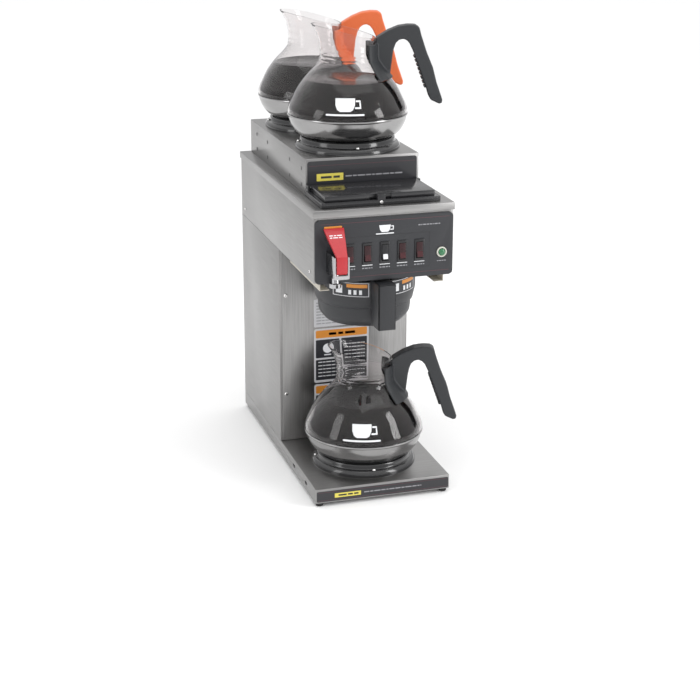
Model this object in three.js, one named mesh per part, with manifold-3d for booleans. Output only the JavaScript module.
// A commercial coffee brewer: a narrow stainless machine with one warmer on its base, two on its upper deck,
// a brew funnel under the head, a hot-water faucet, five rocker switches and three decanters.
// Millimetres, +Z up. The model is laid out with x = 0 on the mid-plane, y = 0 on the head's front face and
// z = 0 on the counter, then moved so that the middle of its footprint is the origin.

import * as THREE from 'three';
import { mergeVertices } from 'three/addons/utils/BufferGeometryUtils.js';
import Module from 'manifold-3d';

const wasm = await Module();
wasm.setup();

// ---- driving dimensions ----
const WIDTH = 216;
const DEPTH = 456;
const FOOT_HEIGHT = 6;
const BASE_HEIGHT = 22.7;
const BASE_REACH = 5.5;
const DECANTER_BACK_CLEARANCE = 15;
const SERVING_GAP = 43;
const HEAD_HEIGHT = 97.7;
const COVER_LIP = 11;
const COVER_OVERHANG = 1.8;
const DECK_HEIGHT = 54.5;
const DECK_SETBACK = 108;
const DECK_INSET = 17.8;
const SHEET = 1.2;
const FLANGE = 16;
const GAP = 0.3;

const WARMER_RADIUS = 82;
const WARMER_HEIGHT = 18;
const WARMER_SHOULDER = 12.5;
const PLATE_THICKNESS = 5;
const LOWER_WARMER_Y = 97;
const FRONT_WARMER_SETBACK = 79.5;
const WARMER_CLEARANCE = 2;

const FUNNEL_RADIUS = 79;
const FUNNEL_HEIGHT = 75;
const FUNNEL_WALL = 2.5;
const FUNNEL_SPOUT = 7;
const EAR_REACH = 11;
const EAR_LENGTH = 90;
const EAR_THICKNESS = 3;
const HANDLE_WIDTH = 27;
const HANDLE_REACH = 18;
const HANDLE_DROP = 71;
const HANDLE_RISE = 4.6;
const HANDLE_WALL = 3;
const RAIL_CLEARANCE = 3;
const RAIL_WIDTH = 15;
const RAIL_LENGTH = 168;
const RAIL_DROP = 14.5;
const RAIL_START = 8;

const PANEL_THICKNESS = 3.2;
const PANEL_MARGIN = 1;
const PANEL_DROP = 1;
const PANEL_TOP_CLEARANCE = 2.7;
const PANEL_RADIUS = 7;
const SWITCH_NAMES = ['lower_warmer', 'power', 'start', 'front_warmer', 'rear_warmer'];
const SWITCH_RISE = 40.7;
const SWITCH_FROM_GUARD = 14.4;
const SWITCH_FROM_LAMP = 27;
const SWITCH_WIDTH = 13;
const SWITCH_HEIGHT = 29;
const SWITCH_DEPTH = 26;
const BEZEL_EDGE = 1.8;
const ROCKER_TILT = 7;
const LAMP_INSET = 19;
const LAMP_RISE = 34.7;
const LAMP_RADIUS = 8;

const FAUCET_INSET = 28.8;
const FAUCET_RISE = 31.7;
const GUARD_WIDTH = 21.6;
const GUARD_HEIGHT = 33;
const GUARD_REACH = 48;
const GUARD_ABOVE_SHANK = 18;
const GUARD_SHEET = 1.2;
const LEVER_TOP_WIDTH = 32;
const LEVER_SIDE_CLEARANCE = 1.6;
const LEVER_RISE = 33;
const LEVER_PIN_RADIUS = 2;
const LEVER_PIN_SETBACK = 10;
const LEVER_PIN_DROP = 8;

const BASIN_INSET = 16;
const BASIN_DECK_CLEARANCE = 1;
const BASIN_START = 13;
const BASIN_DEPTH = 22;
const BASIN_RIM = 7.5;
const BASIN_WALL = 2;
const LID_SIDE_MARGIN = 7;
const LID_END_MARGIN = 8;
const LID_THICKNESS = 8;
const LID_PIN_RADIUS = 1.5;

const DECANTER_BOWL_HEIGHT = 36;
const DECANTER_RADIUS = 93;
const DECANTER_NECK_RADIUS = 42.5;
const DECANTER_NECK_BASE = 118;
const DECANTER_LIP_HEIGHT = 150;
const DECANTER_WALL = 1.8;
const SPOUT_RISE = 22;
const SPOUT_REACH = 12;
const GRIP_WIDTH = 22;
const SADDLE_THICKNESS = 5;
const SADDLE_HALF_ANGLE = 46;
const HANDLE_YAW = -14.5;

const TANK_CLEARANCE = 16;
const TANK_FORWARD = 0.5;
const TANK_DROP = 24;
const TANK_HEIGHT = 188;
const TANK_WALL = 1.5;
const TANK_LID_OVERHANG = 6;
const TANK_LID_THICKNESS = 4;
const HEATER_ROD = 8;
const SPRAY_TUBE = 12;

const ROUND = 28;
const SMALL_ROUND = 14;

// ---- levels and lines that follow from them ----
const HALF = WIDTH / 2;
const BASE_TOP = FOOT_HEIGHT + BASE_HEIGHT;
const TRUNK_SETBACK = LOWER_WARMER_Y + DECANTER_RADIUS + DECANTER_BACK_CLEARANCE;
const DECANTER_STAND = WARMER_HEIGHT + 2 * GAP;
const DECANTER_TOP = DECANTER_LIP_HEIGHT + SPOUT_RISE;
const FUNNEL_DROP = RAIL_DROP - SHEET - GAP - EAR_THICKNESS;
const TRUNK_HEIGHT = DECANTER_STAND + DECANTER_TOP + SERVING_GAP + FUNNEL_SPOUT + FUNNEL_HEIGHT + FUNNEL_DROP;
const HEAD_BOTTOM = BASE_TOP + TRUNK_HEIGHT;
const HEAD_TOP = HEAD_BOTTOM + HEAD_HEIGHT;
const COVER_TOP = HEAD_TOP + COVER_LIP;
const DECK_TOP = COVER_TOP + DECK_HEIGHT;
const FRONT_WARMER_Y = DECK_SETBACK + FRONT_WARMER_SETBACK;
const WARMER_SPACING = 2 * Math.max(DECANTER_RADIUS, WARMER_RADIUS) + WARMER_CLEARANCE;
const REAR_WARMER_Y = FRONT_WARMER_Y + WARMER_SPACING;
const PLATE_RADIUS = WARMER_RADIUS - WARMER_SHOULDER;
const RAIL_BOTTOM = HEAD_BOTTOM - RAIL_DROP;
const FUNNEL_Y = LOWER_WARMER_Y;
const FUNNEL_TOP = RAIL_BOTTOM + SHEET + GAP + EAR_THICKNESS;
const RAIL_LIP = FUNNEL_RADIUS + RAIL_CLEARANCE;
const EAR_WIDTH = FUNNEL_RADIUS + EAR_REACH;
const PANEL_HEIGHT = HEAD_HEIGHT + PANEL_DROP - PANEL_TOP_CLEARANCE;
const FAUCET_X = FAUCET_INSET - HALF;
const FAUCET_Z = HEAD_BOTTOM + FAUCET_RISE;
const LAMP_X = HALF - LAMP_INSET;
const LAMP_Z = HEAD_BOTTOM + LAMP_RISE;
const SWITCH_Z = HEAD_BOTTOM + SWITCH_RISE;
const FIRST_SWITCH_X = FAUCET_X + GUARD_WIDTH / 2 + SWITCH_FROM_GUARD;
const LAST_SWITCH_X = LAMP_X - LAMP_RADIUS - SWITCH_FROM_LAMP;
const LEVER_TONGUE_WIDTH = GUARD_WIDTH - 2 * GUARD_SHEET - 2 * LEVER_SIDE_CLEARANCE;
const BASIN_WIDTH = WIDTH - 2 * BASIN_INSET;
const BASIN_LENGTH = DECK_SETBACK - BASIN_DECK_CLEARANCE - BASIN_START;
const LID_WIDTH = BASIN_WIDTH - 2 * LID_SIDE_MARGIN;
const LID_LENGTH = BASIN_LENGTH - LID_END_MARGIN;
const TRUNK_DEPTH = DEPTH - TRUNK_SETBACK;
const TANK_RADIUS = Math.min(WIDTH, TRUNK_DEPTH) / 2 - FLANGE - TANK_CLEARANCE;
const TANK_LID_RADIUS = TANK_RADIUS + TANK_LID_OVERHANG;
const TANK_Y = TRUNK_SETBACK + TRUNK_DEPTH / 2 - TANK_FORWARD;
const PANEL_FRONT = -GAP - PANEL_THICKNESS;
const TANK_TOP = HEAD_TOP - TANK_DROP;

// ---- solids ----

// A closed solid from a geometry. Corners that meet are merged, pole triangles are dropped and the faces
// are turned outwards.
function solid(geometry) {
  const plain = geometry.clone();
  plain.deleteAttribute('normal');
  plain.deleteAttribute('uv');
  const merged = mergeVertices(plain, 1e-4);
  const corners = merged.attributes.position.array;
  const kept = [];
  let volume = 0;
  const index = merged.index.array;
  for (let i = 0; i < index.length; i += 3) {
    const [a, b, c] = [index[i], index[i + 1], index[i + 2]];
    if (a === b || b === c || a === c) continue;
    kept.push(a, b, c);
    const [p, q, r] = [a, b, c].map((n) => new THREE.Vector3().fromArray(corners, 3 * n));
    volume += p.dot(q.cross(r)) / 6;
  }
  if (volume < 0) kept.reverse();
  const vertProperties = new Float32Array(corners);
  const triVerts = new Uint32Array(kept);
  return new wasm.Manifold(new wasm.Mesh({ numProp: 3, vertProperties, triVerts }));
}

// The geometry of a solid.
function surface(body) {
  const mesh = body.getMesh();
  const geometry = new THREE.BufferGeometry();
  geometry.setAttribute('position', new THREE.BufferAttribute(new Float32Array(mesh.vertProperties), 3));
  geometry.setIndex(new THREE.BufferAttribute(new Uint32Array(mesh.triVerts), 1));
  geometry.computeVertexNormals();
  return geometry;
}

// A block between two corners.
function block(x0, x1, y0, y1, z0, z1) {
  const box = new THREE.BoxGeometry(x1 - x0, y1 - y0, z1 - z0);
  box.translate((x0 + x1) / 2, (y0 + y1) / 2, (z0 + z1) / 2);
  return solid(box);
}

// A body of revolution about Z from [radius, height] pairs, with its axis at x, y.
function turned(profile, x = 0, y = 0, z = 0, segments = ROUND) {
  const points = profile.map(([r, h]) => new THREE.Vector2(r, h));
  const lathe = new THREE.LatheGeometry(points, segments);
  lathe.rotateX(Math.PI / 2);
  lathe.translate(x, y, z);
  return solid(lathe);
}

// The same, with its axis along Y and heights counted towards the front.
function turnedForward(profile, x, y, z, segments = SMALL_ROUND) {
  const points = profile.map(([r, h]) => new THREE.Vector2(r, h));
  const lathe = new THREE.LatheGeometry(points, segments);
  lathe.rotateX(Math.PI);
  lathe.translate(x, y, z);
  return solid(lathe);
}

function disc(radius, z0, z1, x, y, segments = ROUND) {
  return turned([[0, z0], [radius, z0], [radius, z1], [0, z1]], x, y, 0, segments);
}

// A hole or pin along Y, from y0 forwards by length.
function rod(radius, length, x, y0, z, segments = SMALL_ROUND) {
  return turnedForward([[0, 0], [radius, 0], [radius, length], [0, length]], x, y0, z, segments);
}

// An outline of [y, z] pairs drawn out along X between two planes.
function sideCut(outline, x0, x1) {
  const shape = new THREE.Shape(outline.map(([y, z]) => new THREE.Vector2(y, z)));
  const drawn = new THREE.ExtrudeGeometry(shape, { depth: x1 - x0, bevelEnabled: false });
  drawn.rotateX(Math.PI / 2);
  drawn.rotateZ(Math.PI / 2);
  drawn.translate(x0, 0, 0);
  return solid(drawn);
}

// An outline of [x, z] pairs drawn out along Y between two planes.
function frontCut(outline, y0, y1) {
  const shape = new THREE.Shape(outline.map(([x, z]) => new THREE.Vector2(x, z)));
  return frontShape(shape, y0, y1);
}

function frontShape(shape, y0, y1, curveSegments = 6) {
  const drawn = new THREE.ExtrudeGeometry(shape, { depth: y1 - y0, bevelEnabled: false, curveSegments });
  drawn.rotateX(Math.PI / 2);
  drawn.translate(0, y1, 0);
  return solid(drawn);
}

function roundedOutline(x0, x1, z0, z1, radius) {
  const shape = new THREE.Shape();
  shape.moveTo(x0 + radius, z0);
  shape.lineTo(x1 - radius, z0);
  shape.absarc(x1 - radius, z0 + radius, radius, -Math.PI / 2, 0);
  shape.lineTo(x1, z1 - radius);
  shape.absarc(x1 - radius, z1 - radius, radius, 0, Math.PI / 2);
  shape.lineTo(x0 + radius, z1);
  shape.absarc(x0 + radius, z1 - radius, radius, Math.PI / 2, Math.PI);
  shape.lineTo(x0, z0 + radius);
  shape.absarc(x0 + radius, z0 + radius, radius, Math.PI, 1.5 * Math.PI);
  return shape;
}

// ---- materials ----
const finish = (color, roughness, metalness) => new THREE.MeshStandardMaterial({ color, roughness,
  metalness });
const stainless = () => finish(0xa9a6a4, 0.32, 1);
const darkSteel = () => finish(0x6f6f70, 0.4, 1);
const blackPlastic = () => finish(0x2b2c2f, 0.5, 0);
const blackEnamel = () => finish(0x17181a, 0.28, 0.2);
const redPlastic = () => finish(0xc62830, 0.38, 0);
const darkRedPlastic = () => finish(0x5a1a20, 0.3, 0);
const orangePlastic = () => finish(0xdf6a32, 0.42, 0);
const beigePlastic = () => finish(0xc9bfa6, 0.55, 0);
const whitePlastic = () => finish(0xe6e2da, 0.45, 0);
const rubber = () => finish(0x1c1c1c, 0.9, 0);
const brass = () => finish(0xb08d4a, 0.35, 1);
const clearPlastic = () => {
  const clear = finish(0xe6ebee, 0.06, 0);
  clear.transparent = true;
  clear.opacity = 0.35;
  return clear;
};

const brewer = new THREE.Group();
const layout = new THREE.Group();
brewer.add(layout);

function add(name, body, material, group = layout) {
  const mesh = new THREE.Mesh(surface(body), material);
  mesh.name = name;
  group.add(mesh);
  return mesh;
}

// ---- base ----

const VENT_LINES = [52, 123];
const VENT_LENGTH = 12;
const VENT_RADIUS = 2.5;
const VENT_Z = FOOT_HEIGHT + BASE_HEIGHT / 2;

// The base is a pan of folded sheet, open underneath inside a turned-in flange, with two vent slots on each
// side and a window into the trunk.
function baseTray() {
  const front = -BASE_REACH;
  const outer = block(-HALF, HALF, front, DEPTH, FOOT_HEIGHT, BASE_TOP);
  const hollow = block(
    -HALF + SHEET, HALF - SHEET, front + SHEET, DEPTH - SHEET, FOOT_HEIGHT + SHEET, BASE_TOP - SHEET,
  );
  const underside = block(
    -HALF + FLANGE, HALF - FLANGE, front + FLANGE, DEPTH - FLANGE, FOOT_HEIGHT - 1, FOOT_HEIGHT + 2 * SHEET,
  );
  const trunkWindow = block(
    -HALF + 2 * FLANGE, HALF - 2 * FLANGE, TRUNK_SETBACK + 2 * FLANGE, DEPTH - 2 * FLANGE,
    BASE_TOP - 2 * SHEET, BASE_TOP + 1,
  );
  let tray = outer.subtract(hollow).subtract(underside).subtract(trunkWindow);
  for (const y of VENT_LINES) {
    const slot = [];
    for (const [end, turn] of [[1, -90], [-1, 90]]) {
      for (let step = 0; step <= 4; step += 1) {
        const angle = THREE.MathUtils.degToRad(turn + 45 * step);
        slot.push([
          y + (end * VENT_LENGTH) / 2 - end * VENT_RADIUS + VENT_RADIUS * Math.cos(angle),
          VENT_Z + VENT_RADIUS * Math.sin(angle),
        ]);
      }
    }
    tray = tray.subtract(sideCut(slot, -HALF - 1, -HALF + 2 * SHEET));
    tray = tray.subtract(sideCut(slot, HALF - 2 * SHEET, HALF + 1));
  }
  return tray;
}
add('base_tray', baseTray(), stainless());

// Rubber bumpers under the flange's corners.
const FOOT_RADIUS = 7;
const footProfile = [[0, 0], [FOOT_RADIUS - 1.5, 0], [FOOT_RADIUS, FOOT_HEIGHT - GAP], [0,
  FOOT_HEIGHT - GAP]];
for (const [side, x] of [['left', -1], ['right', 1]]) {
  for (const [end, y] of [['front', -BASE_REACH + FLANGE / 2], ['rear', DEPTH - FLANGE / 2]]) {
    const place = x * (HALF - FLANGE / 2);
    add(`foot_${end}_${side}`, turned(footProfile, place, y, 0, SMALL_ROUND), rubber());
  }
}

// ---- warmers ----

const ELEMENT_RADIUS = 45;
const ELEMENT_ROD = 3.5;
const ELEMENT_SIDES = 6;
const RING_SEAT = 8;
const RING_FLOOR = 3;

// A warmer is an enamelled ring, a heated plate that stands a hair above it, and a round element below the
// plate. The ring's shoulder steps in from its skirt.
function warmer(name, y, level) {
  const shelf = WARMER_HEIGHT - 8;
  const seat = PLATE_RADIUS + GAP;
  const ring = [
    [seat - RING_SEAT, 0], [WARMER_RADIUS, 0], [WARMER_RADIUS, 5], [WARMER_RADIUS - 3, shelf - 1],
    [WARMER_RADIUS - 7, shelf], [WARMER_RADIUS - 8, WARMER_HEIGHT - 1], [WARMER_RADIUS - 10, WARMER_HEIGHT],
    [seat, WARMER_HEIGHT], [seat, RING_FLOOR], [seat - RING_SEAT, RING_FLOOR], [seat - RING_SEAT, 0],
  ];
  add(`${name}_warmer_ring`, turned(ring, 0, y, level), blackEnamel());
  const bottom = WARMER_HEIGHT + GAP - PLATE_THICKNESS;
  const plate = disc(PLATE_RADIUS, level + bottom, level + WARMER_HEIGHT + GAP, 0, y);
  add(`${name}_warmer_plate`, plate, blackEnamel());
  const coil = [];
  for (let step = 0; step <= ELEMENT_SIDES; step += 1) {
    const angle = (step / ELEMENT_SIDES) * 2 * Math.PI;
    coil.push([ELEMENT_RADIUS + ELEMENT_ROD * Math.cos(angle), ELEMENT_ROD * Math.sin(angle)]);
  }
  const element = turned(coil, 0, y, level + bottom - GAP - ELEMENT_ROD, SMALL_ROUND + 6);
  add(`${name}_warmer_element`, element, darkSteel());
}
warmer('lower', LOWER_WARMER_Y, BASE_TOP);
warmer('front', FRONT_WARMER_Y, DECK_TOP);
warmer('rear', REAR_WARMER_Y, DECK_TOP);

// ---- trunk ----

// The trunk is a folded column with a window in its front and its back and flanged openings at both ends.
function trunkShell() {
  const bottom = BASE_TOP + GAP;
  const top = HEAD_BOTTOM - GAP;
  const outer = block(-HALF, HALF, TRUNK_SETBACK, DEPTH, bottom, top);
  const hollow = block(
    -HALF + SHEET, HALF - SHEET, TRUNK_SETBACK + SHEET, DEPTH - SHEET, bottom + SHEET, top - SHEET,
  );
  const ends = block(
    -HALF + FLANGE, HALF - FLANGE, TRUNK_SETBACK + FLANGE, DEPTH - FLANGE, bottom - 1, top + 1,
  );
  const windows = block(
    -HALF + FLANGE, HALF - FLANGE, TRUNK_SETBACK - 1, DEPTH + 1, bottom + 2 * FLANGE, top - 2 * FLANGE,
  );
  return outer.subtract(hollow).subtract(ends).subtract(windows);
}
add('trunk_shell', trunkShell(), stainless());

// The access panel covers the front window, held by four screws.
const ACCESS_EDGE = 4;
const accessFront = TRUNK_SETBACK - GAP - SHEET;
const accessPanel = block(
  -HALF + ACCESS_EDGE, HALF - ACCESS_EDGE, accessFront, TRUNK_SETBACK - GAP,
  BASE_TOP + 2 * GAP, HEAD_BOTTOM - 2 * GAP,
);
add('trunk_access_panel', accessPanel, stainless());

// The rear panel covers the windows in the back of the trunk and the head, and carries the inlets.
const REAR_PANEL_FACE = DEPTH + GAP + SHEET;
const GLAND_X = -60;
const GLAND_Z = BASE_TOP + 50;
const GLAND_BORE = 5;
const GLAND_BODY = 9;
const INLET_X = 60;
const INLET_Z = BASE_TOP + 60;
const INLET_BODY = 6;
const INLET_BORE = 3;
const HOLE_LENGTH = 10;
const GLAND_FLANGE = 13;
const GLAND_OUTSIDE = 14;
const GLAND_INSIDE = 8;
const INLET_FLANGE = 9;
const INLET_OUTSIDE = 16;
const INLET_INSIDE = 10;
const FITTING_COLLAR = 3;
const COLLAR_SLOPE = 2;
const rearPanel = block(
  -HALF + ACCESS_EDGE, HALF - ACCESS_EDGE, DEPTH + GAP, REAR_PANEL_FACE, BASE_TOP + 2 * GAP, HEAD_TOP - GAP,
)
  .subtract(rod(GLAND_BODY + GAP, HOLE_LENGTH, GLAND_X, REAR_PANEL_FACE + 2, GLAND_Z))
  .subtract(rod(INLET_BODY + GAP, HOLE_LENGTH, INLET_X, REAR_PANEL_FACE + 2, INLET_Z));
add('rear_panel', rearPanel, stainless());

// The gland grips the supply cord on its way in, and the fitting takes the water line.
function throughFitting(body, bore, flange, x, z, outside, inside) {
  const face = REAR_PANEL_FACE + GAP;
  const profile = [
    [bore, -inside], [body, -inside], [body, 0], [flange, 0], [flange, FITTING_COLLAR],
    [body, FITTING_COLLAR + COLLAR_SLOPE],
    [body, outside], [bore, outside], [bore, -inside],
  ];
  const points = profile.map(([r, h]) => new THREE.Vector2(r, h));
  const lathe = new THREE.LatheGeometry(points, SMALL_ROUND);
  lathe.translate(x, face, z);
  return solid(lathe);
}
const gland = throughFitting(
  GLAND_BODY, GLAND_BORE, GLAND_FLANGE, GLAND_X, GLAND_Z, GLAND_OUTSIDE, GLAND_INSIDE,
);
add('cord_gland', gland, blackPlastic());
const inlet = throughFitting(
  INLET_BODY, INLET_BORE, INLET_FLANGE, INLET_X, INLET_Z, INLET_OUTSIDE, INLET_INSIDE,
);
add('inlet_fitting', inlet, brass());

// ---- head ----

// The head is an open-topped box over the base, with a window behind the control panel, one at the back,
// one above the trunk and a hole for the sprayhead.
const SPRAY_STEM = 11;
const WINDOW_SIDE = 10;
const WINDOW_EDGE = 8;
function headHousing() {
  const top = COVER_TOP - SHEET - GAP;
  const outer = block(-HALF, HALF, 0, DEPTH, HEAD_BOTTOM, top);
  const hollow = block(-HALF + SHEET, HALF - SHEET, SHEET, DEPTH - SHEET, HEAD_BOTTOM + SHEET, top + 1);
  const windows = block(
    -HALF + WINDOW_SIDE, HALF - WINDOW_SIDE, -1, DEPTH + 1, HEAD_BOTTOM + WINDOW_EDGE, HEAD_TOP - WINDOW_EDGE,
  );
  const trunkWindow = block(
    -HALF + FLANGE, HALF - FLANGE, TRUNK_SETBACK + FLANGE, DEPTH - FLANGE, HEAD_BOTTOM - 1, HEAD_BOTTOM + 5,
  );
  const sprayHole = disc(SPRAY_STEM + GAP, HEAD_BOTTOM - 1, HEAD_BOTTOM + 5, 0, FUNNEL_Y, SMALL_ROUND);
  return outer.subtract(hollow).subtract(windows).subtract(trunkWindow).subtract(sprayHole);
}
add('head_housing', headHousing(), stainless());

// The cover is a shallow pan over the head's walls, cut out for the pour-in basin.
const BASIN_LEDGE = 4;
const basinHole = BASIN_WIDTH / 2 - BASIN_LEDGE;
const basinBack = BASIN_START + BASIN_LENGTH;
function topCover() {
  const reach = COVER_OVERHANG;
  const wide = HALF + reach;
  const outer = block(-wide, wide, -reach, DEPTH + reach, HEAD_TOP, COVER_TOP);
  const hollow = block(
    -wide + SHEET, wide - SHEET, -reach + SHEET, DEPTH + reach - SHEET, HEAD_TOP - 1, COVER_TOP - SHEET,
  );
  const hole = block(
    -basinHole, basinHole, BASIN_START + BASIN_LEDGE, basinBack - BASIN_LEDGE, HEAD_TOP, COVER_TOP + 1,
  );
  return outer.subtract(hollow).subtract(hole);
}
add('top_cover', topCover(), stainless());

// ---- upper deck ----

// The deck is a folded box that carries the two upper warmers, open underneath inside a flange.
function upperDeck() {
  const wide = HALF - DECK_INSET;
  const outer = block(-wide, wide, DECK_SETBACK, DEPTH, COVER_TOP, DECK_TOP);
  const hollow = block(
    -wide + SHEET, wide - SHEET, DECK_SETBACK + SHEET, DEPTH - SHEET, COVER_TOP + SHEET, DECK_TOP - SHEET,
  );
  const underside = block(
    -wide + FLANGE, wide - FLANGE, DECK_SETBACK + FLANGE, DEPTH - FLANGE, COVER_TOP - 1,
    COVER_TOP + 2 * SHEET,
  );
  return outer.subtract(hollow).subtract(underside);
}
add('upper_deck', upperDeck(), stainless());

// ---- control panel ----

const switchPitch = (LAST_SWITCH_X - FIRST_SWITCH_X) / (SWITCH_NAMES.length - 1);
const switchPlaces = SWITCH_NAMES.map((name, i) => [name, FIRST_SWITCH_X + i * switchPitch]);

// The panel is a rounded plate over the head's front window, with cut-outs for what passes through it.
const SHANK_RADIUS = 8;
const LAMP_SHOULDER = 2;
const PANEL_CUT = 8;
function controlPanel() {
  const low = HEAD_BOTTOM - PANEL_DROP;
  const wide = HALF - PANEL_MARGIN;
  const outline = roundedOutline(-wide, wide, low, low + PANEL_HEIGHT, PANEL_RADIUS);
  let panel = frontShape(outline, PANEL_FRONT, -GAP);
  const [w, h] = [SWITCH_WIDTH / 2 + GAP, SWITCH_HEIGHT / 2 + GAP];
  for (const [, x] of switchPlaces) {
    panel = panel.subtract(block(x - w, x + w, PANEL_FRONT - 1, 1, SWITCH_Z - h, SWITCH_Z + h));
  }
  panel = panel.subtract(rod(LAMP_RADIUS - LAMP_SHOULDER + GAP, PANEL_CUT, LAMP_X, 3, LAMP_Z));
  return panel.subtract(rod(SHANK_RADIUS + GAP, PANEL_CUT, FAUCET_X, 3, FAUCET_Z));
}
add('control_panel', controlPanel(), blackPlastic());

// A switch body fills its cut-out behind a thin bezel and holds a rocker in its well.
const BEZEL = 1.2;
const WELL_DEPTH = 8.5;
const ROCKER_WIDTH = SWITCH_WIDTH - 3.2;
const ROCKER_HEIGHT = SWITCH_HEIGHT - 6;
const PIVOT_Y = PANEL_FRONT + 2.5;
function switchBody(x) {
  const [w, h] = [SWITCH_WIDTH / 2, SWITCH_HEIGHT / 2];
  const back = PANEL_FRONT - GAP;
  const bezel = block(
    x - w - BEZEL_EDGE / 2, x + w + BEZEL_EDGE / 2, back - BEZEL, back,
    SWITCH_Z - h - BEZEL_EDGE, SWITCH_Z + h + BEZEL_EDGE,
  );
  const body = block(x - w, x + w, back - BEZEL / 2, back + SWITCH_DEPTH, SWITCH_Z - h, SWITCH_Z + h);
  const [wellW, wellH] = [ROCKER_WIDTH / 2 + GAP, ROCKER_HEIGHT / 2 + 1];
  const well = block(
    x - wellW, x + wellW, back - BEZEL - 1, back + WELL_DEPTH, SWITCH_Z - wellH, SWITCH_Z + wellH,
  );
  return bezel.add(body).subtract(well);
}

// A rocker is a shallow V pad over a keel. It is drawn level and then tilted to one side about its pivot.
function rocker(x) {
  const h = ROCKER_HEIGHT / 2;
  const rise = h * Math.tan(THREE.MathUtils.degToRad(ROCKER_TILT));
  const face = -5;
  const outline = [
    [face, 0], [face - rise, h], [face + 2, h], [5, 2.5], [5, -2.5], [face + 2, -h], [face - rise, -h],
  ];
  return sideCut(outline, x - ROCKER_WIDTH / 2, x + ROCKER_WIDTH / 2);
}
for (const [name, x] of switchPlaces) {
  add(`${name}_switch_body`, switchBody(x), blackPlastic());
  const material = name === 'start' ? blackPlastic() : darkRedPlastic();
  const pad = add(`${name}_rocker`, rocker(x), material);
  pad.position.set(0, PIVOT_Y, SWITCH_Z);
  pad.rotation.x = THREE.MathUtils.degToRad(-ROCKER_TILT);
}

// The ready lamp is a domed lens in a flanged holder.
const LAMP_DEPTH = 18;
const lampBody = LAMP_RADIUS - LAMP_SHOULDER;
const lamp = [[0, -LAMP_DEPTH], [lampBody, -LAMP_DEPTH], [lampBody, 0], [LAMP_RADIUS, 0], [LAMP_RADIUS, 1.6],
  [LAMP_RADIUS - 2.4, 1.8], [LAMP_RADIUS - 4, 3.4], [0, 4]];
add('ready_lamp', turnedForward(lamp, LAMP_X, PANEL_FRONT - GAP, LAMP_Z), whitePlastic());

// ---- hot-water faucet ----

const guardFront = -GUARD_REACH;
const guardTop = FAUCET_Z + GUARD_ABOVE_SHANK;
const guardBottom = guardTop - GUARD_HEIGHT;
const guardHalf = GUARD_WIDTH / 2;

// The faucet's shank runs back through the panel and turns down to a nozzle.
const NOZZLE_RADIUS = 9;
const NOZZLE_BORE = 4;
const NOZZLE_DROP = 4;
const NOZZLE_NECK = 6;
const NOZZLE_TIP = 7;
const SHANK_LENGTH = 42;
const SHANK_BACK = 16;
const nozzleY = PANEL_FRONT - NOZZLE_RADIUS - 1;
const nozzleEnd = HEAD_BOTTOM - NOZZLE_DROP;
function faucetBody() {
  const shank = rod(SHANK_RADIUS, SHANK_LENGTH, FAUCET_X, SHANK_BACK, FAUCET_Z);
  const drop = disc(NOZZLE_NECK, nozzleEnd + NOZZLE_TIP - 1, FAUCET_Z, FAUCET_X, nozzleY, SMALL_ROUND);
  const tip = disc(NOZZLE_RADIUS, nozzleEnd, nozzleEnd + NOZZLE_TIP, FAUCET_X, nozzleY, SMALL_ROUND);
  const bore = disc(NOZZLE_BORE, nozzleEnd - 1, FAUCET_Z, FAUCET_X, nozzleY, SMALL_ROUND);
  return shank.add(drop).add(tip).subtract(bore);
}
add('faucet_body', faucetBody(), stainless());

// The guard is a folded box open at the top, back and bottom, with a slot in front for the lever's tongue.
const slotHalf = LEVER_TONGUE_WIDTH / 2 + 0.8;
const leverPinY = guardFront + LEVER_PIN_SETBACK;
const leverPinZ = guardTop - LEVER_PIN_DROP;
function faucetGuard() {
  const outer = block(
    FAUCET_X - guardHalf, FAUCET_X + guardHalf, guardFront, PANEL_FRONT - GAP, guardBottom, guardTop,
  );
  const hollow = block(
    FAUCET_X - guardHalf + GUARD_SHEET, FAUCET_X + guardHalf - GUARD_SHEET, guardFront + GUARD_SHEET, 1,
    guardBottom - 1, guardTop + 1,
  );
  const slot = block(
    FAUCET_X - slotHalf, FAUCET_X + slotHalf, guardFront - 1, guardFront + 5, guardBottom + 6, guardTop + 1,
  );
  return outer.subtract(hollow).subtract(slot);
}
add('faucet_guard', faucetGuard(), stainless());

const pinLength = GUARD_WIDTH - 2 * GUARD_SHEET - 2 * GAP;
const pinGeometry = new THREE.CylinderGeometry(LEVER_PIN_RADIUS, LEVER_PIN_RADIUS, pinLength, SMALL_ROUND);
pinGeometry.rotateZ(Math.PI / 2);
pinGeometry.translate(FAUCET_X, leverPinY, leverPinZ);
add('faucet_pin', solid(pinGeometry), stainless());

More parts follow.
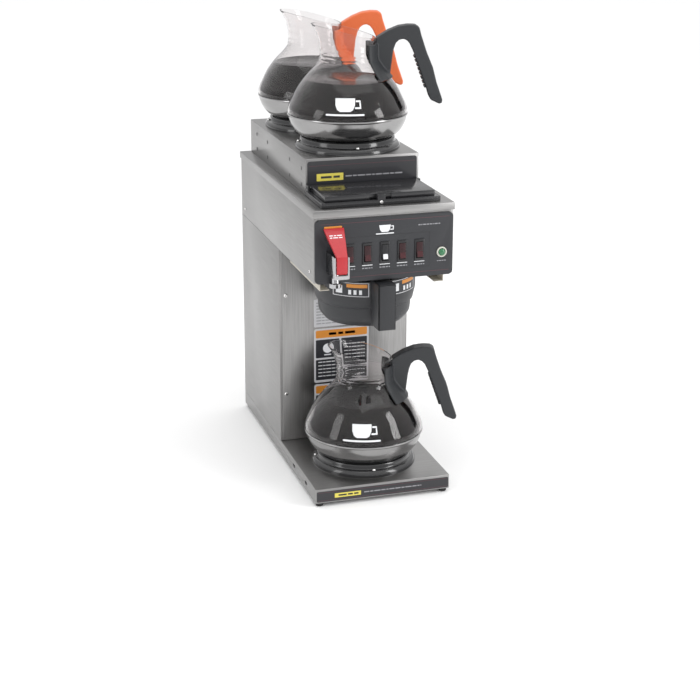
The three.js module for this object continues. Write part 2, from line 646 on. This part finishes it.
// The lever is a hollow ramp from the panel down to a tongue in the guard's slot. It turns on a rib that
// hangs on the pin.
function faucetLever() {
  const [back, front] = [PANEL_FRONT - 2, guardFront - 1.8];
  const bend = guardTop + 1;
  const top = bend + LEVER_RISE;
  const tongueEnd = guardBottom + 7;
  const thick = 3.4;
  const skirt = 8;
  const outerSide = [
    [back, top], [front, bend], [front, tongueEnd + 3], [front + thick, tongueEnd],
    [front + thick, bend - 3], [front + skirt, bend - 2], [back, top - skirt],
  ];
  const [w0, w1] = [LEVER_TONGUE_WIDTH / 2, LEVER_TOP_WIDTH / 2];
  const taper = (edge) => [
    [FAUCET_X - w0 + edge, tongueEnd - 1], [FAUCET_X + w0 - edge, tongueEnd - 1],
    [FAUCET_X + w0 - edge, bend], [FAUCET_X + w1 - edge, top + 1],
    [FAUCET_X - w1 + edge, top + 1], [FAUCET_X - w0 + edge, bend],
  ];
  const outer = sideCut(outerSide, FAUCET_X - w1, FAUCET_X + w1)
    .intersect(frontCut(taper(0), front - 1, back + 1));
  const underside = [
    [back + 1, top - 2.6], [front + 8, bend + 3.2], [front + 8, bend - 12], [back + 1, bend - 12],
  ];
  const hollow = sideCut(underside, FAUCET_X - w1, FAUCET_X + w1)
    .intersect(frontCut(taper(2), front - 1, back + 2));
  const rib = [
    [leverPinY - 6, leverPinZ + 11], [leverPinY - 5, leverPinZ - 5], [leverPinY + 5, leverPinZ - 5],
    [leverPinY + 12, leverPinZ + 22],
  ];
  const hole = new THREE.CylinderGeometry(LEVER_PIN_RADIUS + GAP, LEVER_PIN_RADIUS + GAP, 20, SMALL_ROUND);
  hole.rotateZ(Math.PI / 2);
  hole.translate(FAUCET_X, leverPinY, leverPinZ);
  return outer.subtract(hollow).add(sideCut(rib, FAUCET_X - 3.5, FAUCET_X + 3.5)).subtract(solid(hole));
}
add('faucet_lever', faucetLever(), redPlastic());

// ---- brew funnel and its rails ----

// The funnel is a stepped cup with a drain in its floor, two straight ears that ride in the rails and a
// channel-shaped handle.
function funnel() {
  const radius = FUNNEL_RADIUS;
  const top = FUNNEL_TOP;
  const floor = top - FUNNEL_HEIGHT;
  const wall = FUNNEL_WALL;
  const profile = [
    [9, floor - 2], [radius - 30, floor + 1], [radius - 18, floor], [radius - 15, floor + 4],
    [radius - 8.6, floor + 12], [radius - 7, floor + 30], [radius - 4, floor + 32], [radius, floor + 50],
    [radius, top], [radius - wall, top], [radius - wall, floor + 50], [radius - 4 - wall, floor + 33],
    [radius - 8.6 - wall, floor + 30], [radius - 8.6 - wall, floor + 15], [radius - 18, floor + 10],
    [radius - 30, floor + 4.5], [4, floor + 1.5], [4, floor - FUNNEL_SPOUT], [7, floor - FUNNEL_SPOUT],
    [9, floor - 2],
  ];
  const cup = turned(profile, 0, FUNNEL_Y);
  const cavity = disc(radius - wall / 2, floor, top + HANDLE_RISE + 1, 0, FUNNEL_Y);
  const ears = block(
    -EAR_WIDTH, EAR_WIDTH, FUNNEL_Y - EAR_LENGTH / 2, FUNNEL_Y + EAR_LENGTH / 2, top - EAR_THICKNESS, top,
  ).subtract(cavity);
  const [half, wallH] = [HANDLE_WIDTH / 2, HANDLE_WALL];
  const root = FUNNEL_Y - radius + 8;
  const handleTop = top + HANDLE_RISE;
  const channel = block(-half, half, -HANDLE_REACH, root, handleTop - HANDLE_DROP, handleTop)
    .subtract(block(-half + wallH, half - wallH, -HANDLE_REACH + wallH, root + 1,
      handleTop - HANDLE_DROP - 1, handleTop - wallH))
    .subtract(cavity);
  return cup.add(ears).add(channel);
}
add('funnel', funnel(), blackPlastic());

// Each rail is a folded channel that holds one ear.
for (const [side, way] of [['left', -1], ['right', 1]]) {
  const lip = RAIL_LIP;
  const outer = lip + RAIL_WIDTH;
  const top = HEAD_BOTTOM - GAP;
  const section = [
    [lip, RAIL_BOTTOM], [outer, RAIL_BOTTOM], [outer, top], [lip + 4, top], [lip + 4, top - SHEET],
    [outer - SHEET, top - SHEET], [outer - SHEET, RAIL_BOTTOM + SHEET], [lip, RAIL_BOTTOM + SHEET],
  ].map(([x, z]) => [way * x, z]);
  add(`funnel_rail_${side}`, frontCut(section, RAIL_START, RAIL_START + RAIL_LENGTH), beigePlastic());
}

// The sprayhead hangs from the head's floor by a stem, clear of the funnel's rim.
const SPRAY_RADIUS = 24;
const sprayBottom = FUNNEL_TOP + 0.8;
const sprayTop = HEAD_BOTTOM + 12;
const sprayhead = [
  [0, sprayBottom], [SPRAY_RADIUS - 1, sprayBottom], [SPRAY_RADIUS, HEAD_BOTTOM - GAP - 0.6],
  [SPRAY_RADIUS, HEAD_BOTTOM - GAP], [SPRAY_STEM, HEAD_BOTTOM - GAP], [SPRAY_STEM, sprayTop], [0, sprayTop],
];
add('sprayhead', turned(sprayhead, 0, FUNNEL_Y), stainless());

// ---- pour-in basin ----

// The basin is a moulded tray that hangs in the cover by its rim. Ears at its back corners hold the lid's
// pin, and a tab at the front fills the lid's notch.
const rimTop = COVER_TOP + BASIN_RIM;
const lidBottom = rimTop + GAP;
const lidBack = basinBack - 1.5;
const lidPinY = lidBack - 4.2;
const lidPinZ = lidBottom + LID_THICKNESS / 2;
const NOTCH_WIDTH = 34;
const TAB_WIDTH = 12;
const RIM_INSET = 5;
const DRAIN_RADIUS = 6;
const EAR_SIDE_CLEARANCE = 0.8;
const EAR_ROUND = 4;
function basinTray() {
  const half = BASIN_WIDTH / 2;
  const rim = block(-half, half, BASIN_START, basinBack, COVER_TOP + GAP, rimTop);
  const inset = RIM_INSET;
  const cup = block(
    -half + inset, half - inset, BASIN_START + inset, basinBack - inset, COVER_TOP - BASIN_DEPTH, rimTop - 1,
  );
  const inside = inset + BASIN_WALL;
  const hollow = block(
    -half + inside, half - inside, BASIN_START + inside, basinBack - inside,
    COVER_TOP - BASIN_DEPTH + BASIN_WALL, rimTop + 1,
  );
  const drain = disc(
    DRAIN_RADIUS, COVER_TOP - BASIN_DEPTH - 1, COVER_TOP, BASIN_WIDTH / 4, DECK_SETBACK / 2, SMALL_ROUND,
  );
  let tray = rim.add(cup).subtract(hollow).subtract(drain);
  tray = tray.add(block(
    -TAB_WIDTH / 2, TAB_WIDTH / 2, BASIN_START + 0.5, BASIN_START + 8, rimTop - 1, rimTop + LID_THICKNESS,
  ));
  for (const way of [-1, 1]) {
    const inner = LID_WIDTH / 2 + EAR_SIDE_CLEARANCE;
    const [x0, x1] = way < 0 ? [-inner - EAR_ROUND, -inner] : [inner, inner + EAR_ROUND];
    tray = tray.add(block(
      x0, x1, lidPinY - EAR_ROUND, lidPinY + EAR_ROUND, rimTop - 1, lidPinZ + EAR_ROUND,
    ));
  }
  const hole = new THREE.CylinderGeometry(LID_PIN_RADIUS + GAP, LID_PIN_RADIUS + GAP, BASIN_WIDTH,
    SMALL_ROUND);
  hole.rotateZ(Math.PI / 2);
  hole.translate(0, lidPinY, lidPinZ);
  return tray.subtract(solid(hole));
}
add('basin_tray', basinTray(), blackPlastic());

// The lid is a stiffened plate with a round-backed edge, bored for the pin.
function basinLid() {
  const half = LID_WIDTH / 2;
  const front = lidBack - LID_LENGTH;
  const top = lidBottom + LID_THICKNESS;
  const outline = [[front, lidBottom], [lidPinY, lidBottom]];
  for (let step = 1; step <= 6; step += 1) {
    const angle = -Math.PI / 2 + (step / 6) * Math.PI;
    outline.push([lidPinY + EAR_ROUND * Math.cos(angle), lidPinZ + EAR_ROUND * Math.sin(angle)]);
  }
  outline.push([front, top]);
  const plate = sideCut(outline, -half, half);
  const recess = block(-half + 3, half - 3, front + 3, lidPinY - 5, lidBottom - 1, top - 3);
  const notch = block(-NOTCH_WIDTH / 2, NOTCH_WIDTH / 2, front - 1, front + 2.6, lidBottom - 1, top + 1);
  const bore = new THREE.CylinderGeometry(LID_PIN_RADIUS + GAP, LID_PIN_RADIUS + GAP, LID_WIDTH + 2,
    SMALL_ROUND);
  bore.rotateZ(Math.PI / 2);
  bore.translate(0, lidPinY, lidPinZ);
  return plate.subtract(recess).subtract(notch).subtract(solid(bore));
}
add('basin_lid', basinLid(), blackPlastic());

const lidPin = new THREE.CylinderGeometry(LID_PIN_RADIUS, LID_PIN_RADIUS, LID_WIDTH + 8, SMALL_ROUND);
lidPin.rotateZ(Math.PI / 2);
lidPin.translate(0, lidPinY, lidPinZ);
add('lid_hinge_pin', solid(lidPin), stainless());

// ---- water system and electrics ----

const tankBottom = TANK_TOP - TANK_HEIGHT;
const tankProfile = [
  [0, tankBottom], [TANK_RADIUS, tankBottom], [TANK_RADIUS, TANK_TOP], [TANK_RADIUS - TANK_WALL, TANK_TOP],
  [TANK_RADIUS - TANK_WALL, tankBottom + TANK_WALL], [0, tankBottom + TANK_WALL],
];
add('water_tank', turned(tankProfile, 0, TANK_Y), stainless());
const tankLidBottom = TANK_TOP + GAP;
const tankLidTop = tankLidBottom + TANK_LID_THICKNESS;
const tankLid = disc(TANK_LID_RADIUS, tankLidBottom, tankLidTop, 0, TANK_Y);
add('tank_lid', tankLid, stainless());

// A round bar along a path.
function bar(path, thickness, steps, sides = 8) {
  const shape = new THREE.Shape();
  for (let i = 0; i < sides; i += 1) {
    const angle = (i / sides) * 2 * Math.PI;
    const [x, y] = [(thickness / 2) * Math.cos(angle), (thickness / 2) * Math.sin(angle)];
    if (i === 0) shape.moveTo(x, y);
    else shape.lineTo(x, y);
  }
  return solid(new THREE.ExtrudeGeometry(shape, { steps, bevelEnabled: false, extrudePath: path }));
}

// The heater is a bent rod below the tank's lid.
const HEATER_HALF = 25;
const heaterTop = TANK_TOP - GAP;
const heaterBend = tankBottom + 40;
const heaterPoints = [new THREE.Vector3(-HEATER_HALF, TANK_Y, heaterTop)];
for (let step = 0; step <= 6; step += 1) {
  const angle = Math.PI + (step / 6) * Math.PI;
  heaterPoints.push(new THREE.Vector3(
    HEATER_HALF * Math.cos(angle), TANK_Y, heaterBend + HEATER_HALF * Math.sin(angle),
  ));
}
heaterPoints.push(new THREE.Vector3(HEATER_HALF, TANK_Y, heaterTop));
const heaterPath = new THREE.CatmullRomCurve3(heaterPoints, false, 'chordal');
add('tank_heater', bar(heaterPath, HEATER_ROD, 22), darkSteel());

// The spray tube leads from the tank's lid to the sprayhead's stem, below the basin.
const TUBE_SETBACK = 50;
const TUBE_DROP = 22;
const TUBE_RISE = 12;
const tubeBack = TANK_Y - TUBE_SETBACK;
const tubeLow = COVER_TOP - BASIN_DEPTH - TUBE_DROP;
const tubeHigh = tankLidTop + GAP + TUBE_RISE;
const tubePath = new THREE.CatmullRomCurve3([
  new THREE.Vector3(0, tubeBack, tankLidTop + 2 * GAP),
  new THREE.Vector3(0, tubeBack, tankLidTop + 2 * GAP + 4),
  new THREE.Vector3(0, tubeBack - 4, tubeHigh - 3),
  new THREE.Vector3(0, tubeBack - 16, tubeHigh),
  new THREE.Vector3(0, FUNNEL_Y + 70, tubeLow + 10),
  new THREE.Vector3(0, FUNNEL_Y + 20, tubeLow),
  new THREE.Vector3(0, FUNNEL_Y + 3, tubeLow - 8),
  new THREE.Vector3(0, FUNNEL_Y, sprayTop + 16),
  new THREE.Vector3(0, FUNNEL_Y, sprayTop + GAP + 1),
]);
add('spray_tube', bar(tubePath, SPRAY_TUBE, 24), whitePlastic());

// The fill valve stands behind the inlet, and its coil sits on its body.
const VALVE_SETBACK = 32;
const VALVE_HALF = 12;
const VALVE_REACH = 14;
const COIL_RADIUS = 15;
const COIL_BASE = 10;
const COIL_HEIGHT = 45;
const valveY = REAR_PANEL_FACE - VALVE_SETBACK;
const valveBody = block(
  INLET_X - VALVE_HALF, INLET_X + VALVE_HALF, valveY - VALVE_REACH, valveY + VALVE_REACH,
  INLET_Z - VALVE_HALF, INLET_Z + VALVE_HALF,
);
const coil = disc(COIL_RADIUS, INLET_Z + COIL_BASE, INLET_Z + COIL_HEIGHT, INLET_X, valveY, SMALL_ROUND);
const valve = valveBody.add(coil);
add('fill_valve', valve, brass());

// The control board stands against the head's right wall with its relays on it.
const BOARD_STANDOFF = 6;
const BOARD_THICKNESS = 1.6;
const BOARD_RISE = 20;
const BOARD_HEIGHT = 62;
const BOARD_FRONT = 120;
const BOARD_BACK = 210;
const RELAY_LINES = [135, 165, 195];
const RELAY_HALF = 10;
const RELAY_REACH = 17;
const [RELAY_LOW, RELAY_HIGH] = [12, 40];
const boardX = HALF - SHEET - BOARD_STANDOFF;
const boardZ = HEAD_BOTTOM + BOARD_RISE;
let board = block(boardX - BOARD_THICKNESS, boardX, BOARD_FRONT, BOARD_BACK, boardZ, boardZ + BOARD_HEIGHT);
for (const y of RELAY_LINES) {
  board = board.add(block(
    boardX - RELAY_REACH, boardX - 1, y - RELAY_HALF, y + RELAY_HALF, boardZ + RELAY_LOW, boardZ + RELAY_HIGH,
  ));
}
add('control_board', board, finish(0x2f5a3c, 0.6, 0));

// ---- decanters ----

const bowlHeight = DECANTER_BOWL_HEIGHT;
const shoulder = [
  [1, bowlHeight + GAP], [0.995, bowlHeight + 8], [0.93, 58], [0.835, 75], [0.715, 90], [0.56, 105],
].map(([share, z]) => [DECANTER_RADIUS * share, z]);

// The clear body's outside, grown by a margin.
function bodyOutline(margin) {
  const neck = DECANTER_NECK_RADIUS;
  return [
    ...shoulder, [neck + 1, DECANTER_NECK_BASE], [neck, DECANTER_NECK_BASE + 10],
    [neck, DECANTER_LIP_HEIGHT - 8], [neck + 2, DECANTER_LIP_HEIGHT],
  ].map(([r, z]) => [r + margin, z]);
}

// The neck above its base leans out and up on the spout's side, which is the side away from the handle.
function drawSpout(geometry) {
  const place = geometry.attributes.position;
  const start = DECANTER_NECK_BASE + 8;
  for (let i = 0; i < place.count; i += 1) {
    const [x, y, z] = [place.getX(i), place.getY(i), place.getZ(i)];
    const share = Math.max(0, (z - start) / (DECANTER_LIP_HEIGHT - start));
    const radius = Math.hypot(x, y);
    if (share === 0 || radius === 0) continue;
    const towards = -x / radius;
    const pull = Math.max(0, towards) ** 3 * share * share * SPOUT_REACH;
    place.setXYZ(i, x * (1 + pull / radius), y * (1 + pull / radius),
      z + (share * SPOUT_RISE * (1 + towards)) / 2);
  }
}

function decanterBody() {
  const outside = bodyOutline(0);
  const inside = bodyOutline(-DECANTER_WALL).reverse();
  const points = [...outside, ...inside, outside[0]].map(([r, z]) => new THREE.Vector2(r, z));
  const lathe = new THREE.LatheGeometry(points, ROUND);
  lathe.rotateX(Math.PI / 2);
  drawSpout(lathe);
  return solid(lathe);
}

function decanterBowl() {
  const outside = [
    [0, 0], [66, 0], [73, 2], [82, 9], [89, 21], [92, 31],
  ].map(([r, z]) => [(r / 93) * DECANTER_RADIUS, z]);
  outside.push([DECANTER_RADIUS + 0.8, bowlHeight - 2], [DECANTER_RADIUS + 0.8, bowlHeight]);
  const inside = outside.slice(1, -1).map(([r, z]) => [r - 1.2, z + 1]);
  inside[inside.length - 1] = [DECANTER_RADIUS - 1.2, bowlHeight];
  return turned([...outside, ...inside.reverse(), [0, 1]]);
}

// The handle is a pistol grip that arches over from a saddle on the neck. Its grip has a wavy inner edge.
const HANDLE_OUTLINE = [
  [24, 129], [31, 142], [44, 151], [62, 162], [78, 168.5], [92, 170.5], [104, 170], [110, 166],
  [112.5, 156], [121.5, 129], [131.5, 105], [137.5, 82], [147, 55], [146, 50], [142, 48.5],
  [129, 54.5], [125.5, 60], [121, 75],
];
const ARCH_OUTLINE = [
  [103, 125], [95.5, 141], [91, 146.5], [85.5, 149], [79, 147.5], [74, 143], [71, 135], [69, 125],
  [65.5, 95], [50, 102], [34, 111], [25, 120],
];
const GRIP_WAVES = 8;
const GRIP_WAVE_DEPTH = 0.8;
function decanterHandle() {
  const outline = [...HANDLE_OUTLINE];
  const [low, high] = [HANDLE_OUTLINE[HANDLE_OUTLINE.length - 1], ARCH_OUTLINE[0]];
  for (let step = 1; step < 2 * GRIP_WAVES; step += 1) {
    const share = step / (2 * GRIP_WAVES);
    const wave = step % 2 === 1 ? GRIP_WAVE_DEPTH : 0;
    outline.push([
      THREE.MathUtils.lerp(low[0], high[0], share) - wave, THREE.MathUtils.lerp(low[1], high[1], share),
    ]);
  }
  outline.push(...ARCH_OUTLINE);
  const grip = frontCut(outline, -GRIP_WIDTH / 2, GRIP_WIDTH / 2);
  const inner = bodyOutline(GAP + 0.2);
  const outer = bodyOutline(SADDLE_THICKNESS);
  const keep = ([, z]) => z > 88 && z < DECANTER_LIP_HEIGHT;
  const ring = [...inner.filter(keep), ...outer.filter(keep).reverse()];
  const saddleRing = turned([...ring, ring[0]]);
  const spread = DECANTER_RADIUS * Math.tan(THREE.MathUtils.degToRad(SADDLE_HALF_ANGLE));
  const wedge = new THREE.Shape([
    new THREE.Vector2(0, 0), new THREE.Vector2(DECANTER_RADIUS, -spread),
    new THREE.Vector2(DECANTER_RADIUS, spread),
  ]);
  const sector = solid(new THREE.ExtrudeGeometry(wedge, { depth: 200, bevelEnabled: false }));
  const fill = turned([
    [0, shoulder[0][1]], ...inner, [inner[inner.length - 1][0], 200], [0, 200],
  ]);
  return grip.add(saddleRing.intersect(sector)).subtract(fill);
}

for (const [name, y, level, handleMaterial] of [
  ['lower', LOWER_WARMER_Y, BASE_TOP, blackPlastic],
  ['front', FRONT_WARMER_Y, DECK_TOP, blackPlastic],
  ['rear', REAR_WARMER_Y, DECK_TOP, orangePlastic],
]) {
  const place = new THREE.Group();
  place.position.set(0, y, level + DECANTER_STAND);
  place.rotation.z = THREE.MathUtils.degToRad(HANDLE_YAW);
  layout.add(place);
  add(`${name}_decanter_bowl`, decanterBowl(), stainless(), place);
  add(`${name}_decanter_body`, decanterBody(), clearPlastic(), place);
  add(`${name}_decanter_handle`, decanterHandle(), handleMaterial(), place);
}

// ---- origin ----
brewer.updateMatrixWorld(true);
const box = new THREE.Box3().setFromObject(brewer, true);
const middle = box.getCenter(new THREE.Vector3());
layout.position.set(-middle.x, -middle.y, -box.min.z);

export default brewer;
